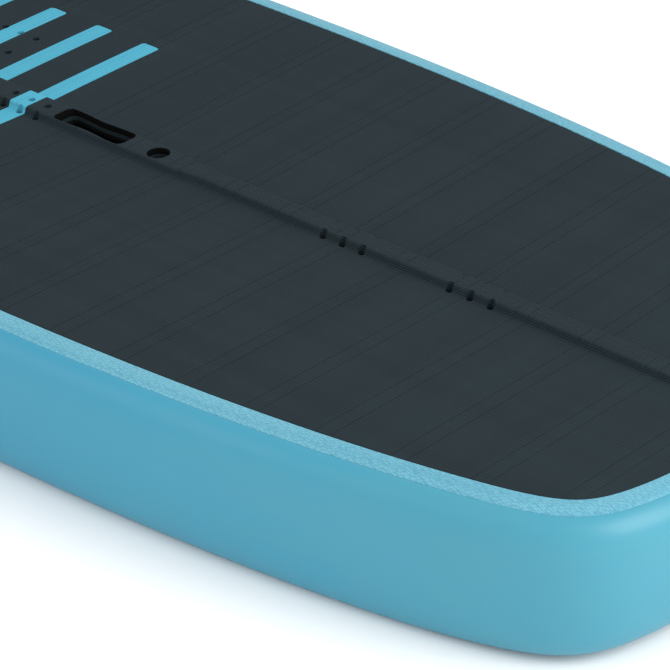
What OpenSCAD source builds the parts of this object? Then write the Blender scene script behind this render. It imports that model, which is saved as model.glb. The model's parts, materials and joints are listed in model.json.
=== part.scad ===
// Stand up paddleboard with twin foil tracks, a soft deck and rows of footstrap inserts.
// Millimetres. +X points to the nose, +Y to port and +Z up. The origin is under the middle
// of the board, on the plane that the flat of the bottom rests on.

/* [Board] */
// Overall length, tail to nose
board_l = 1905; // [1580:5:2300]
// Overall width at the widest station
board_w = 760; // [630:2:920]
// Thickness from the flat of the bottom to the deck at the edge of the pad
board_t = 165; // [137:1:198]
// Fall of the deck from the edge of the pad to the centreline
deck_dish = 9; // [2:0.5:14]
// Lift of the bottom at the tip of the nose
nose_lift = 105; // [60:1:120]
// Lift of the deck at the tip of the nose
nose_rise = 30; // [10:1:60]
// Length of the stretch that lifts towards the nose
nose_kick_l = 570; // [450:5:600]
// Lift of the bottom at the tail
tail_lift = 18; // [8:1:30]
// Length of the stretch that lifts towards the tail
tail_kick_l = 250; // [200:2:256]

/* [Rails] */
// Distance from the edge of the deck pad out to the widest line of the rail
edge_w = 41; // [34:1:50]
// Share of the thickness that lies above the widest line
upper_share = 0.28; // [0.2:0.01:0.4]
// Distance that the rail tucks in under the board
tuck_w = 30; // [20:1:45]
// Thickness of the sandwich skin round the hull and under the pads
shell_t = 4; // [3:0.5:6]

/* [Deck pad] */
// Thickness of the soft pads and of the textured band
pad_t = 5; // [3:0.5:7]
// Height of the centre ridge above the pads
ridge_h = 8; // [4:0.5:11]
// Width of the flat top of the ridge behind the handle
ridge_top_w = 24; // [18:1:28]
// Width of the flat top of the ridge at the handle and in front of it
ridge_front_w = 32; // [28:1:36]
// Distance that each sloping side of the ridge reaches out
ridge_side_w = 3; // [1:0.5:5]
// Distance from the tail to the back end of the ridge
ridge_from_tail = 122; // [118:1:160]

/* [Stripes] */
// Number of coloured stripes across the pad
stripe_count = 4; // [2:1:4]
// Width of a stripe, fore and aft
stripe_w = 26; // [16:1:32]
// Length of a stripe across the board
stripe_l = 370; // [240:5:420]
// Distance from one stripe to the next
stripe_pitch = 76; // [60:1:78]
// Distance from the middle of the board to the first stripe
stripe_x = 80; // [70:1:85]
// Distance that the ends of a stripe bend back
stripe_bow = 3; // [0:0.5:6]

/* [Carry handle] */
// Length of the mouth
mouth_l = 100; // [90:1:104]
// Width of the mouth at its ends
mouth_w = 29; // [24:1:30]
// Depth of the hollow under the deck
cup_depth = 46; // [35:1:60]
// Place of the handle, from the middle of the board
handle_x = -26; // [-30:1:-22]

/* [Footstrap inserts] */
// Distance between neighbouring screws in a row, fore and aft
insert_pitch = 26; // [22:0.5:28]
// Radius of the screw thread
insert_thread_r = 3; // [2:0.1:3.5]
// Radius of an insert
insert_r = 6; // [5:0.25:7.2]
// Length of an insert
insert_l = 24; // [16:1:29]
// Radius of the holes in the pads
pad_hole_r = 4.3; // [3.6:0.1:5.5]
// Distance between the two rear rows, port and starboard
rear_row_w = 26; // [22:1:32]
// Distance from the tail to the middle of the rear strap
rear_strap_from_tail = 472; // [460:1:520]
// Distance between the two ends of the rear strap
rear_strap_l = 167; // [150:1:190]
// Distance from the middle of the board to the inner group of the front straps
front_strap_x = 75; // [73:1:82]
// Distance between neighbouring rows of the inner group, port and starboard
front_row_w = 19; // [16:0.5:24]
// Distance from the middle of the board to the outer group of the front straps
outer_strap_x = 221; // [190:1:230]
// Distance from the centreline to the inner row of the outer group
outer_row_y = 73; // [60:1:90]
// Distance between the two rows of the outer group
outer_row_w = 43; // [30:1:60]

/* [Vent] */
// Place of the vent, from the middle of the board
vent_x = -122; // [-135:1:-116]
// Radius of the recess over the vent screw
vent_recess_r = 12; // [11:0.5:13]
// Radius of the vent screw's thread
vent_thread_r = 5; // [4:0.25:6]

/* [Leash plug] */
// Distance from the tail to the leash plug
leash_from_tail = 85; // [80:1:95]
// Radius of the cup inside the plug
leash_cup_r = 12; // [10:0.5:14]
// Radius of the pin across the cup
leash_pin_r = 2.5; // [2:0.1:3]

/* [Foil tracks] */
// Distance between the two tracks
track_gap = 90; // [80:1:110]
// Length of a track
track_l = 256; // [216:2:264]
// Distance from the tail to the middle of the tracks
track_from_tail = 452; // [445:1:520]
// Width of the slot
slot_w = 9.6; // [8.6:0.1:11]
// Radius of the thread in a track nut
nut_thread_r = 4; // [3:0.5:4]

/* [Hidden] */
$fn = 48;
// Overlap of a cutting shape past the face that it cuts
eps = 1;
half_l = board_l / 2;
half_w = board_w / 2;
deck_slope = deck_dish / (half_w - edge_w);
cover_t = pad_t + shell_t;
band_share = pad_t / cover_t;

// ---- Plan outline: one side, tail to nose, as shares of the half length and half width
tail_end = [[-1, 0], [-1, 0.13], [-0.993, 0.245], [-0.985, 0.37]];
tail_corner = [[-0.985, 0.37], [-0.967, 0.655], [-0.9375, 0.717], [-0.83, 0.787]];
rear_side = [[-0.83, 0.787], [-0.588, 0.945], [-0.26, 1], [0.07, 1]];
front_side = [[0.07, 1], [0.42, 1], [0.672, 0.906], [0.83, 0.63]];
nose_end = [[0.83, 0.63], [0.913, 0.483], [1, 0.26], [1, 0]];

function bezier(p, t) = pow(1 - t, 3) * p[0] + 3 * pow(1 - t, 2) * t * p[1]
    + 3 * (1 - t) * t * t * p[2] + pow(t, 3) * p[3];
function stretch(p, n) = [for (k = [0:n - 1]) bezier(p, k / n)];
outline_share = concat(stretch(tail_end, 3), stretch(tail_corner, 6), stretch(rear_side, 9),
    stretch(front_side, 8), stretch(nose_end, 6), [[1, 0]]);
outline = [for (p = outline_share) [p.x * half_l, p.y * half_w]];
last = len(outline) - 1;
loop_n = 2 * last;

function mirrored(p) = [p.x, -p.y];
function before(i) = i == 0 ? mirrored(outline[1]) : outline[i - 1];
function after(i) = i == last ? mirrored(outline[last - 1]) : outline[i + 1];
function inward(i) = let (t = after(i) - before(i)) [t.y, -t.x] / norm(t);
function inset(i, d) = outline[i] + d * inward(i);

// ---- Heights of the deck and of the bottom along the board
function past(x, start, l) = max(0, (x - start) / l);
function nose_s(x) = past(x, half_l - nose_kick_l, nose_kick_l);
function tail_s(x) = past(-x, half_l - tail_kick_l, tail_kick_l);
deck_mid = board_t - deck_dish;
function bottom_z(x) = nose_lift * pow(nose_s(x), 2) + tail_lift * pow(tail_s(x), 2);
function deck_z(x, y) = deck_mid + nose_rise * pow(nose_s(x), 2) + deck_slope * abs(y);

// ---- Rail: points round the section, from the edge of the pad (0) to the bottom
upper_n = 5;
lower_n = 5;
seam = 2;
rail_n = upper_n + lower_n;
rail_power = 0.8;
function rise(a) = pow(sin(a), rail_power);
function fall(a) = 1 - pow(cos(a), rail_power);
// Distance in from the widest line, outside (f = 0) or inside (f = 1) the skin
function rail_inset(k, f) = k <= upper_n
    ? f * shell_t + (edge_w - f * shell_t) * (1 - rise(90 * k / upper_n))
    : f * shell_t + (tuck_w - f * shell_t) * fall(90 * (k - upper_n) / lower_n);
// Drop below the edge of the deck, for a local thickness t
function rail_drop(k, f, t) = k <= upper_n
    ? f * cover_t + (upper_share * t - f * cover_t) * fall(90 * k / upper_n)
    : upper_share * t
        + (t - upper_share * t - f * shell_t) * rise(90 * (k - upper_n) / lower_n);
function edge_z(i) = let (p = inset(i, edge_w)) deck_z(p.x, p.y);
function local_t(i) = edge_z(i) - bottom_z(inset(i, tuck_w).x);
function face_point(i, k, f) = let (p = inset(i, rail_inset(k, f)))
    [p.x, p.y, edge_z(i) - rail_drop(k, f, local_t(i))];
function rail_point(i, k, f) = (1 - f) * face_point(i, k, 0) + f * face_point(i, k, 1);
function loop_point(j, k, f) = j <= last ? rail_point(j, k, f)
    : let (p = rail_point(loop_n - j, k, f)) [p.x, -p.y, p.z];
function ring(k, f) = [for (j = [0:loop_n - 1]) loop_point(j, k, f)];

// ---- Solids built from rings
function flat(lists) = [for (l = lists) each l];
// Triangles between ring r and ring s, both with n points. Their diagonals lean the other
// way if back is set, so that two pieces split a face that they share alike
function wall_faces(r, s, n, back = false) = flat([for (j = [0:n - 1]) let (m = (j + 1) % n)
    back ? [[r * n + j, r * n + m, s * n + j], [r * n + m, s * n + m, s * n + j]]
        : [[r * n + j, r * n + m, s * n + m], [r * n + j, s * n + m, s * n + j]]]);
// Triangles across a ring: spine holds the index of the first point on its centreline
function spine_index(r, spine, i) = i == 0 ? r * loop_n : i == last ? r * loop_n + last
    : spine + i - 1;
function port_index(r, i) = r * loop_n + i;
function star_index(r, i) = r * loop_n + (loop_n - i) % loop_n;
function cap_faces(r, spine) = flat([for (i = [0:last - 1])
    let (c = spine_index(r, spine, i), d = spine_index(r, spine, i + 1),
        p = port_index(r, i), q = port_index(r, i + 1),
        s = star_index(r, i), t = star_index(r, i + 1))
    [for (f = [[c, q, p], [c, d, q], [c, s, t], [c, t, d]])
        if (f[0] != f[1] && f[1] != f[2] && f[0] != f[2]) f]]);
function turned(faces) = [for (f = faces) [f[2], f[1], f[0]]];
function spine_points(r, z_mid) = [for (i = [1:last - 1]) [r[i].x, 0, z_mid[i]]];

// A ring-shaped solid: the section goes round the listed rings and closes on itself.
// Past the ring at turn, the section runs back
module hoop(rings, turn) {
    n = len(rings[0]);
    m = len(rings);
    polyhedron(flat(rings),
        flat([for (k = [0:m - 1]) wall_faces(k, (k + 1) % m, n, k > turn)]));
}

// A solid with the listed rings round it, closed over the first and the last ring
module drum(rings, first_z, last_z, turn) {
    m = len(rings);
    spine_a = m * loop_n;
    spine_b = spine_a + last - 1;
    polyhedron(concat(flat(rings), spine_points(rings[0], first_z),
            spine_points(rings[m - 1], last_z)),
        concat(flat([for (k = [0:m - 2]) wall_faces(k, k + 1, loop_n, k > turn)]),
            cap_faces(0, spine_a), turned(cap_faces(m - 1, spine_b))));
}

function deck_line(depth) = [for (i = [0:last])
    let (x = rail_point(i, 0, depth / cover_t).x) deck_z(x, 0) - depth];
function bottom_line(k, f) = [for (i = [0:last]) rail_point(i, k, f).z];

// ---- Footstrap insert places
function grid(x, xs, ys) = [for (k = xs, y = ys) [x + k * insert_pitch, y]];
rear_strap_x = -half_l + rear_strap_from_tail;
rear_places = [for (e = [-1, 1])
    each grid(rear_strap_x + e * rear_strap_l / 2, [-1:1], [-rear_row_w / 2, rear_row_w / 2])];
front_places = grid(front_strap_x, [-1:1], [-front_row_w, 0, front_row_w]);
outer_rows = [outer_row_y, outer_row_y + outer_row_w];
function outer_places(side) = grid(outer_strap_x, [-1:1], side * outer_rows);
all_places = concat(rear_places, front_places, outer_places(1), outer_places(-1));
block_margin = 18;
insert_drop = 0.3;

module insert_bores(r) {
    for (p = all_places)
        translate([p.x, p.y, deck_z(p.x, p.y) - cover_t - insert_l])
            cylinder(r = r, h = insert_l + cover_t + ridge_h + eps);
}

module inserts(places) {
    for (p = places)
        translate([p.x, p.y, deck_z(p.x, p.y) - pad_t - insert_drop - insert_l])
            difference() {
                cylinder(r = insert_r, h = insert_l);
                translate([0, 0, insert_floor])
                    cylinder(r = insert_thread_r, h = insert_l);
            }
}
insert_floor = 4;

// ---- Pads: one side each, meeting on the centreline under the ridge
function pad_station(i, side) = let (p = inset(i, edge_w), z = deck_z(p.x, p.y),
        c = deck_z(p.x, 0))
    [[p.x, 0, c], [p.x, side * p.y, z], [p.x, side * p.y, z - pad_t], [p.x, 0, c - pad_t]];
module station_solid(stations, turn) {
    n = len(stations[0]);
    m = len(stations);
    faces = concat(flat([for (k = [0:m - 2]) wall_faces(k, k + 1, n, true)]),
        [for (j = [1:n - 2]) [0, j, j + 1]],
        [for (j = [1:n - 2]) [(m - 1) * n, (m - 1) * n + j + 1, (m - 1) * n + j]]);
    polyhedron(flat(stations), turn ? turned(faces) : faces);
}
module pad_sheet(side) {
    station_solid([for (i = [1:last - 1]) pad_station(i, side)], side < 0);
}

// ---- Centre ridge, on top of the pads
// Glue line between the ridge and the pads
ridge_glue = 0.05;
ridge_taper_l = 30;
ridge_end_h = 0.6;
ridge_back = -half_l + ridge_from_tail;
ridge_front = min(half_l - nose_kick_l,
    stripe_x + (stripe_count - 1) * stripe_pitch + stripe_w / 2 + 2 * ridge_taper_l);
ridge_widen_x = vent_x - 2 * vent_recess_r - 2 * ridge_taper_l;
ridge_wide_x = vent_x - 2 * vent_recess_r;
ridge_stations = [[ridge_back, ridge_top_w, ridge_end_h],
    [ridge_back + ridge_taper_l, ridge_top_w, ridge_h],
    [ridge_widen_x, ridge_top_w, ridge_h],
    [ridge_wide_x, ridge_front_w, ridge_h],
    [ridge_front - ridge_taper_l, ridge_front_w, ridge_h],
    [ridge_front, ridge_top_w, ridge_end_h]];
function ridge_section(s, glue) = let (x = s[0], t = s[1] / 2, b = t + ridge_side_w,
        z = deck_z(x, 0) + s[2], foot = deck_z(x, b) + glue)
    [[x, -t, z], [x, t, z], [x, b, foot], [x, 0, deck_z(x, 0) + glue], [x, -b, foot]];
module ridge_bar(glue) {
    station_solid([for (s = ridge_stations) ridge_section(s, glue)], false);
}

// ---- Stripes across the pads and over the ridge
stripe_steps = 6;
function bow_x(y) = -stripe_bow * pow(2 * y / stripe_l, 2);
stripe_ys = [for (k = [0:stripe_steps]) stripe_l * (k / stripe_steps - 0.5)];
module stripe_columns() {
    for (k = [0:stripe_count - 1])
        translate([stripe_x + k * stripe_pitch, 0, deck_mid - cover_t])
            linear_extrude(cover_t + ridge_h + nose_rise)
                polygon(concat([for (y = stripe_ys) [bow_x(y) - stripe_w / 2, y]],
                    [for (k = [0:stripe_steps]) let (y = -stripe_ys[k])
                        [bow_x(y) + stripe_w / 2, y]]));
}

// ---- Carry handle
mouth_corner_r = 8;
mouth_waist = 2;
mouth_waist_r = 150;
cup_wall = 4;
cup_undercut = 12;
cup_end = 3;
cup_l = mouth_l + 2 * (cup_end + cup_wall);
cup_w = mouth_w + 2 * (cup_undercut + cup_wall);
cup_h = cup_depth + 2 * cup_wall;
cup_top = deck_mid - pad_t;
cup_corner_r = 20;
module rounded(l, w, r) {
    square([l - 2 * r, w], center = true);
    square([l, w - 2 * r], center = true);
    for (x = [-1, 1], y = [-1, 1])
        translate([x * (l / 2 - r), y * (w / 2 - r)]) circle(r = r);
}
module mouth_outline() {
    difference() {
        rounded(mouth_l, mouth_w, mouth_corner_r);
        for (y = [-1, 1])
            translate([0, y * (mouth_w / 2 - mouth_waist + mouth_waist_r)])
                circle(r = mouth_waist_r, $fn = 180);
    }
}
module mouth_column(z, h) {
    translate([handle_x, 0, z]) linear_extrude(h) mouth_outline();
}
module cup_column(z, h) {
    translate([handle_x, 0, z]) linear_extrude(h) rounded(cup_l, cup_w, cup_corner_r);
}

// ---- Vent
flange_r = 22;
vent_body_r = 17;
vent_h = 26;
vent_recess_depth = 6;
gasket_t = 2;
gasket_w = 2.5;
head_t = 5;
vent_run = 0.05;
vent_top = deck_mid - pad_t;
vent_seat = vent_top - vent_recess_depth;
head_r = vent_recess_r - 1.5;
module vent_column(r, z, h) {
    translate([vent_x, 0, z]) cylinder(r = r, h = h);
}

// ---- Leash plug
leash_x = -half_l + leash_from_tail;
leash_wall = 3;
leash_h = 26;
leash_floor = 3;
leash_top = deck_mid - pad_t;
leash_pin_drop = 8;
leash_r = leash_cup_r + leash_wall;
module leash_column(r, z, h) {
    translate([leash_x, 0, z]) cylinder(r = r, h = h);
}

// ---- Tracks and their nuts
track_x = -half_l + track_from_tail;
track_wall = 5;
lip_t = 4.5;
nut_space_h = 9.5;
bolt_space_h = 6;
track_h = lip_t + nut_space_h + bolt_space_h + track_wall;
nut_space_w = slot_w + 7.4;
track_w = nut_space_w + 2 * track_wall;
track_end = 12;
slot_l = track_l - 2 * track_end;
gate_l = 22;
nut_gap = 0.3;
nut_l = 22;
nut_head_t = 5.5;
nut_boss_t = 3.3;
nut_place = 65;
module track_box(side, over) {
    translate([track_x, side * track_gap / 2, track_h / 2 - over / 2])
        cube([track_l, track_w, track_h + over], center = true);
}
module slot_box(side, w, l, z, h) {
    translate([track_x - l / 2, side * track_gap / 2 - w / 2, z]) cube([l, w, h]);
}

// ---- Dense foam blocks that the tracks and the inserts are set in
track_block_l = track_l + 14;
track_block_w = track_gap + track_w + 26;
track_block_h = track_h + 40;
strap_block_h = insert_l + 6;
// A block under the deck skin from y = a to y = b, its top on the skin or above it by over
module deck_block(x0, x1, a, b, over) {
    ys = a < 0 && b > 0 ? [b, 0, a] : [b, a];
    tops = [for (y = ys) [y, deck_z(0, y) - cover_t + over]];
    low = deck_mid - cover_t - strap_block_h;
    translate([x0, 0, 0]) rotate([90, 0, 90]) linear_extrude(x1 - x0)
        polygon(concat([[a, low], [b, low]], tops));
}
rear_half = rear_strap_l / 2 + insert_pitch + block_margin;
rear_half_y = rear_row_w / 2 + block_margin;
front_half_y = front_row_w + block_margin;
front_x0 = handle_x + cup_l / 2 + 2;
front_x1 = front_strap_x + insert_pitch + block_margin;
outer_half = insert_pitch + block_margin;
module rear_block_space(over) {
    deck_block(rear_strap_x - rear_half, rear_strap_x + rear_half, -rear_half_y, rear_half_y,
        over);
}
module front_block_space(over) {
    deck_block(front_x0, front_x1, -front_half_y, front_half_y, over);
}
module outer_block_space(side, over) {
    y0 = outer_row_y - block_margin;
    y1 = outer_row_y + outer_row_w + block_margin;
    deck_block(outer_strap_x - outer_half, outer_strap_x + outer_half,
        side > 0 ? y0 : -y1, side > 0 ? y1 : -y0, over);
}
module track_block_space() {
    translate([track_x - track_block_l / 2, -track_block_w / 2, shell_t])
        cube([track_block_l, track_block_w, track_block_h - shell_t]);
}

// ---- Stringer: a plank on the centreline, in three lengths
stringer_t = 8;
glue_gap = 0.9;
stringer_clear = 6;
stringer_steps = 12;
nose_span = [front_x1 + stringer_clear, half_l - edge_w - 30];
mid_span = [rear_strap_x + rear_half + stringer_clear, vent_x - flange_r - stringer_clear];
tail_span = [leash_x + leash_r + stringer_clear,
    min(rear_strap_x - rear_half, track_x - track_block_l / 2) - stringer_clear];
module plank(span, over) {
    xs = [for (k = [0:stringer_steps]) span[0] + (span[1] - span[0]) * k / stringer_steps];
    tops = [for (x = xs) [x, deck_z(x, 0) - cover_t - glue_gap + over]];
    feet = [for (k = [0:stringer_steps]) let (x = xs[stringer_steps - k])
        [x, bottom_z(x) + shell_t + glue_gap - over]];
    translate([0, stringer_t / 2, 0]) rotate([90, 0, 0]) linear_extrude(stringer_t)
        polygon(concat(tops, feet));
}

// ==== Sub-parts ====

module hull_shell() {
    color("#4fb0cd") difference() {
        drum(concat([for (k = [rail_n:-1:seam]) ring(k, 0)], [ring(seam, band_share)],
                [for (k = [seam:rail_n]) ring(k, 1)]),
            bottom_line(rail_n, 0), bottom_line(rail_n, 1), 2 * rail_n);
        for (side = [-1, 1]) track_box(side, eps);
    }
}

module deck_shell() {
    color("#e6e4da") difference() {
        drum(concat([for (k = [0:seam]) ring(k, band_share)], [for (k = [seam:-1:0]) ring(k, 1)]),
            deck_line(pad_t), deck_line(cover_t), seam);
        insert_bores(insert_r);
        cup_column(cup_top - cover_t, cover_t + eps);
        vent_column(flange_r, vent_top - cover_t, cover_t + eps);
        leash_column(leash_r, leash_top - cover_t, cover_t + eps);
    }
}

module foam_core() {
    color("#f2f2ee") difference() {
        drum([for (k = [0:rail_n]) ring(k, 1)], deck_line(cover_t), bottom_line(rail_n, 1),
            rail_n);
        track_block_space();
        rear_block_space(cover_t);
        front_block_space(cover_t);
        for (side = [-1, 1]) outer_block_space(side, cover_t);
        cup_column(cup_top - cup_h, cup_h + eps);
        vent_column(flange_r, vent_top - cover_t, cover_t + eps);
        vent_column(vent_body_r, vent_top - vent_h, vent_h);
        leash_column(leash_r, leash_top - leash_h, leash_h + eps);
        for (span = [nose_span, mid_span, tail_span]) plank(span, shell_t);
    }
}

module stringer_nose() {
    color("#c9a36a") plank(nose_span, 0);
}

module stringer_mid() {
    color("#c9a36a") plank(mid_span, 0);
}

module stringer_tail() {
    color("#c9a36a") plank(tail_span, 0);
}

module track_block() {
    color("#d8cf9a") difference() {
        track_block_space();
        for (side = [-1, 1]) track_box(side, eps);
    }
}

module rear_strap_block() {
    color("#d8cf9a") difference() {
        rear_block_space(0);
        insert_bores(insert_r);
    }
}

module front_strap_block() {
    color("#d8cf9a") difference() {
        front_block_space(0);
        insert_bores(insert_r);
    }
}

module outer_strap_block_port() {
    color("#d8cf9a") difference() {
        outer_block_space(1, 0);
        insert_bores(insert_r);
    }
}

module outer_strap_block_starboard() {
    color("#d8cf9a") difference() {
        outer_block_space(-1, 0);
        insert_bores(insert_r);
    }
}

module rail_band() {
    color("#68b7ce") hoop(concat([for (k = [0:seam]) ring(k, 0)],
        [for (k = [seam:-1:0]) ring(k, band_share)]), seam);
}

// What every soft piece on the deck is cut with
module deck_cuts() {
    insert_bores(pad_hole_r);
    mouth_column(cup_top - eps, pad_t + ridge_h + 2 * eps);
    vent_column(vent_recess_r, vent_top - eps, pad_t + ridge_h + 2 * eps);
    leash_column(leash_cup_r, leash_top - eps, pad_t + ridge_h + 2 * eps);
}

module deck_pad_port() {
    color("#313c40") difference() {
        pad_sheet(1);
        stripe_columns();
        deck_cuts();
    }
}

module deck_pad_starboard() {
    color("#313c40") difference() {
        pad_sheet(-1);
        stripe_columns();
        deck_cuts();
    }
}

module centre_ridge() {
    color("#313c40") difference() {
        ridge_bar(ridge_glue);
        stripe_columns();
        deck_cuts();
    }
}

module deck_stripes() {
    color("#54a5c0") difference() {
        intersection() {
            union() {
                pad_sheet(1);
                pad_sheet(-1);
                ridge_bar(0);
            }
            stripe_columns();
        }
        deck_cuts();
    }
}

module handle_cup() {
    color("#151517") difference() {
        cup_column(cup_top - cup_h, cup_h);
        translate([handle_x, 0, cup_top - cup_wall - cup_depth]) linear_extrude(cup_depth)
            rounded(cup_l - 2 * cup_wall, cup_w - 2 * cup_wall, cup_corner_r - cup_wall);
        mouth_column(cup_top - 2 * cup_wall, 2 * cup_wall + eps);
    }
}

module vent_housing() {
    color("#1b1b1e") difference() {
        union() {
            vent_column(flange_r, vent_top - shell_t, shell_t);
            vent_column(vent_body_r, vent_top - vent_h, vent_h);
        }
        vent_column(vent_recess_r, vent_seat, vent_h);
        vent_column(vent_thread_r, vent_top - vent_h - eps, vent_h + 2 * eps);
    }
}

module vent_gasket() {
    color("#0d0d0d") difference() {
        vent_column(vent_thread_r + vent_run + gasket_w, vent_seat, gasket_t);
        vent_column(vent_thread_r + vent_run, vent_seat - eps, gasket_t + 2 * eps);
    }
}

// Coin slot across the head, cut to half the head's thickness
coin_slot_w = 2.4;
vent_shank_l = 14;
module vent_screw() {
    head_z = vent_seat + gasket_t;
    color("#222226") difference() {
        union() {
            vent_column(head_r, head_z, head_t);
            vent_column(vent_thread_r - vent_run, head_z - vent_shank_l, vent_shank_l + eps);
        }
        translate([vent_x, 0, head_z + head_t])
            cube([2 * head_r + eps, coin_slot_w, head_t], center = true);
    }
}

module rear_strap_inserts() {
    color("#17181a") inserts(rear_places);
}

module front_strap_inserts() {
    color("#17181a") inserts(front_places);
}

module outer_strap_inserts_port() {
    color("#17181a") inserts(outer_places(1));
}

module outer_strap_inserts_starboard() {
    color("#17181a") inserts(outer_places(-1));
}

module pin_column(r, l) {
    translate([leash_x, 0, leash_top - leash_pin_drop]) rotate([90, 0, 0])
        cylinder(r = r, h = l, center = true);
}

module leash_plug() {
    color("#17181a") difference() {
        leash_column(leash_r, leash_top - leash_h, leash_h);
        leash_column(leash_cup_r, leash_top - leash_h + leash_floor, leash_h);
        pin_column(leash_pin_r, 2 * leash_cup_r + leash_wall);
    }
}

module leash_pin() {
    color("#b9bcc0") pin_column(leash_pin_r, 2 * leash_cup_r + leash_wall);
}

module foil_track(side) {
    color("#202124") difference() {
        track_box(side, 0);
        slot_box(side, slot_w, slot_l, -eps, lip_t + nut_space_h + bolt_space_h + eps);
        slot_box(side, nut_space_w, slot_l, lip_t, nut_space_h);
        slot_box(side, nut_space_w, gate_l, -eps, lip_t + 2 * eps);
    }
}

module foil_track_port() {
    foil_track(1);
}

module foil_track_starboard() {
    foil_track(-1);
}

module track_nut(side, end) {
    head_w = nut_space_w - 2 * nut_gap;
    boss_w = slot_w - 2 * nut_gap;
    color("#b08d4a") translate([track_x + end * nut_place, side * track_gap / 2, 0])
        difference() {
            union() {
                translate([-nut_l / 2, -head_w / 2, lip_t + nut_gap])
                    cube([nut_l, head_w, nut_head_t]);
                translate([-nut_l / 2, -boss_w / 2, lip_t + nut_gap - nut_boss_t])
                    cube([nut_l, boss_w, nut_boss_t + eps]);
            }
            cylinder(r = nut_thread_r, h = track_h);
        }
}

module track_nut_port_front() {
    track_nut(1, 1);
}

module track_nut_port_rear() {
    track_nut(1, -1);
}

module track_nut_starboard_front() {
    track_nut(-1, 1);
}

module track_nut_starboard_rear() {
    track_nut(-1, -1);
}

hull_shell();
deck_shell();
foam_core();
stringer_nose();
stringer_mid();
stringer_tail();
track_block();
rear_strap_block();
front_strap_block();
outer_strap_block_port();
outer_strap_block_starboard();
rail_band();
deck_pad_port();
deck_pad_starboard();
centre_ridge();
deck_stripes();
handle_cup();
vent_housing();
vent_gasket();
vent_screw();
rear_strap_inserts();
front_strap_inserts();
outer_strap_inserts_port();
outer_strap_inserts_starboard();
leash_plug();
leash_pin();
foil_track_port();
foil_track_starboard();
track_nut_port_front();
track_nut_port_rear();
track_nut_starboard_front();
track_nut_starboard_rear();
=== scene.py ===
"""Looks of the stand up paddleboard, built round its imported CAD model."""

import json
import math

import bmesh
import bpy
import numpy as np
from mathutils import Matrix, Vector


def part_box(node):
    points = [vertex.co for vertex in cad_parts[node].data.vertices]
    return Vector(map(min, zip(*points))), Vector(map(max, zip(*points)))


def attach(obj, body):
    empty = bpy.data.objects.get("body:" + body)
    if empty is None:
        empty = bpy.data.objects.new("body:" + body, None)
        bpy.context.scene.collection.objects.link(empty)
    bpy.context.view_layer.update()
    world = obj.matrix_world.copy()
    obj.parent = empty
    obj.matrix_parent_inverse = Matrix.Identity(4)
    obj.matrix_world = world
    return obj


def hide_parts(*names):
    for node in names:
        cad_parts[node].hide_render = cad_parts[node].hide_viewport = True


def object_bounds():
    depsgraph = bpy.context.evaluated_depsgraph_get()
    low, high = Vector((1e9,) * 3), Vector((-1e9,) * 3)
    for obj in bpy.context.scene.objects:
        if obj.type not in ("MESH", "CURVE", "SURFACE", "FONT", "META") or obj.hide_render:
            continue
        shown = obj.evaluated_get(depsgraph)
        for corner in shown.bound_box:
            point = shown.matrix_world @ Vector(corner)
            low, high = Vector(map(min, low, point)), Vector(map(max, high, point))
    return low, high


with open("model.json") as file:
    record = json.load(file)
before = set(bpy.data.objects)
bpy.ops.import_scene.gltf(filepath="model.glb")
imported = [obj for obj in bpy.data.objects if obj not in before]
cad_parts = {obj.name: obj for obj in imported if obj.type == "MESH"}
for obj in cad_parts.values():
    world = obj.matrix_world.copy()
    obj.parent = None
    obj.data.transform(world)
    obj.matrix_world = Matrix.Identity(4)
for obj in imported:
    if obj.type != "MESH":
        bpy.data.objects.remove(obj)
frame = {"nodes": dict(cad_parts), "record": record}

cad_low, cad_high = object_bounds()

# ---- Sizes, in metres. The first group is read from the frame.
HALF_L = (cad_high.x - cad_low.x) / 2
HALF_W = (cad_high.y - cad_low.y) / 2
PAD_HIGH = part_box("deck_pad_port")[1]
RIDGE_LOW, RIDGE_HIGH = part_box("centre_ridge")
CUP_LOW, CUP_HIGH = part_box("handle_cup")
STRIPE_LOW, STRIPE_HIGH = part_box("deck_stripes")
VENT_LOW, VENT_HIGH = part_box("vent_housing")
LEASH_LOW, LEASH_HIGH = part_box("leash_plug")
EDGE_W = HALF_W - PAD_HIGH.y
# The ridge's underside stands this far above the pads
RIDGE_GLUE = 0.00005
DECK_MID = RIDGE_LOW.z - RIDGE_GLUE
RIDGE_H = RIDGE_HIGH.z - DECK_MID
PAD_T = DECK_MID - CUP_HIGH.z
SHELL_T = HALF_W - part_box("foam_core")[1].y
COVER_T = PAD_T + SHELL_T

# Shape of the board's section and rocker, as designed
DECK_DISH = 0.009
NOSE_LIFT = 0.105
NOSE_RISE = 0.030
NOSE_KICK = 0.570
TAIL_LIFT = 0.018
TAIL_KICK = 0.250
UPPER_SHARE = 0.28
TUCK_W = 0.030
RAIL_POWER = 0.8
SEAM_AT = 0.29
DECK_SLOPE = DECK_DISH / (HALF_W - EDGE_W)

# Details of the soft deck
GROOVE_PITCH = 0.078
GROOVE_GAP = 0.016
GROOVE_START = -0.2285
GROOVE_W = 0.0014
GROOVE_DEPTH = 0.0006
RIB_PITCH = 0.0045
RIDGE_RIB_PITCH = 0.0031
PAD_EDGE_R = 0.0016
RIDGE_TOP_W = 0.024
RIDGE_FRONT_W = 0.032
RIDGE_SIDE_W = 0.003
RIDGE_TAPER = 0.030
RIDGE_END_H = 0.0006
PAD_HOLE_R = 0.0043
STRIPE_W = 0.026
STRIPE_PITCH = 0.076
STRIPE_BOW = 0.003
STRIPE_CORNER = 0.0025
STRIPE_L = STRIPE_HIGH.y - STRIPE_LOW.y
STRIPE_COUNT = 4
STRIPE_X = STRIPE_LOW.x + STRIPE_W / 2 + STRIPE_BOW
SEAM_GAP = 0.0002

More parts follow.
